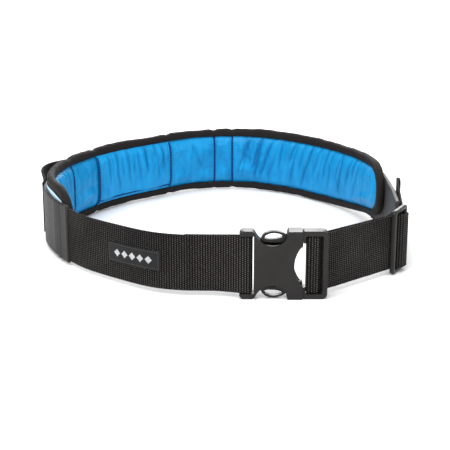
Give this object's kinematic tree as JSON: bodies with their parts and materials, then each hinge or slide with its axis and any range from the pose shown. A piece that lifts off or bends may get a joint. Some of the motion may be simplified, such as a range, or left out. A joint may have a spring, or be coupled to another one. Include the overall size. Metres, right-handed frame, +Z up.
{
  "type": "gait belt",
  "caption": "Padded webbing belt that closes round the waist with a side-release buckle, with a sliding adjuster and a handle to hold the wearer by.",
  "frame": {"origin": "centre of the belt's box, on the floor that its lower edge stands on", "axes": "+X along the buckle from the socket to the plug, +Y from the buckle to the back of the ring, +Z up along the belt's width"},
  "size_m": [0.355, 0.3523, 0.069],
  "materials": {
    "foam": "soft",
    "blue_lining": "satin",
    "grey_nylon": "matte",
    "black_binding": "matte",
    "blue_thread": "matte",
    "black_webbing": "matte",
    "pale_cloth": "satin",
    "black_thread": "matte",
    "label": "satin",
    "label_white": "satin",
    "black_plastic": "fine matte"
  },
  "bodies": {
    "belt": {"foam_core": "foam", "inner_lining": "blue_lining", "lining_patch": "blue_lining", "outer_shell": "grey_nylon", "edge_binding": "black_binding", "lining_stitching": "blue_thread", "patch_stitching": "blue_thread", "back_webbing": "black_webbing", "right_sleeve": "grey_nylon", "left_sleeve": "grey_nylon", "left_facing": "pale_cloth", "left_handle": "black_webbing", "handle_bartacks": "black_thread", "left_strap": "black_webbing", "socket_loop": "black_webbing", "loop_stitching": "black_thread", "label_patch": "label", "label_motif": "label_white", "label_stitching": "black_thread", "buckle_socket": "black_plastic", "right_strap_inner": "black_webbing", "right_strap_outer": "black_webbing"},
    "plug": {"plug_frame": "black_plastic", "plug_wrap": "black_webbing"},
    "upper_arm": {"upper_arm": "black_plastic"},
    "lower_arm": {"lower_arm": "black_plastic"},
    "slider": {"slider_frame": "black_plastic"},
    "tail": {"tail_strap": "black_webbing", "tail_hem": "black_webbing"}
  },
  "joints": [
    {"name": "plug_slide", "type": "slide", "parent": "belt", "child": "plug", "axis": [1, 0, 0], "range_m": [0, 0.034], "deforming": ["right_strap_inner", "right_strap_outer", "upper_arm", "lower_arm"]},
    {"name": "upper_press", "type": "hinge", "parent": "plug", "child": "upper_arm", "pos_m": [0.07247, -0.1696, 0.04875], "axis": [0, -1, 0], "range_deg": [0, 8], "stiffness_Nm_per_rad": 0.6},
    {"name": "lower_press", "type": "hinge", "parent": "plug", "child": "lower_arm", "pos_m": [0.07247, -0.1696, 0.01125], "axis": [0, 1, 0], "range_deg": [0, 8], "stiffness_Nm_per_rad": 0.6},
    {"name": "slider_slide", "type": "slide", "parent": "belt", "child": "slider", "axis": [-0.1045, -0.9945, 0], "range_m": [0, 0.008]},
    {"name": "tail_swing", "type": "hinge", "parent": "slider", "child": "tail", "pos_m": [0.16647, -0.0878, 0.03], "axis": [0, 0, -1], "range_deg": [0, 45], "stiffness_Nm_per_rad": 0.05}
  ]
}
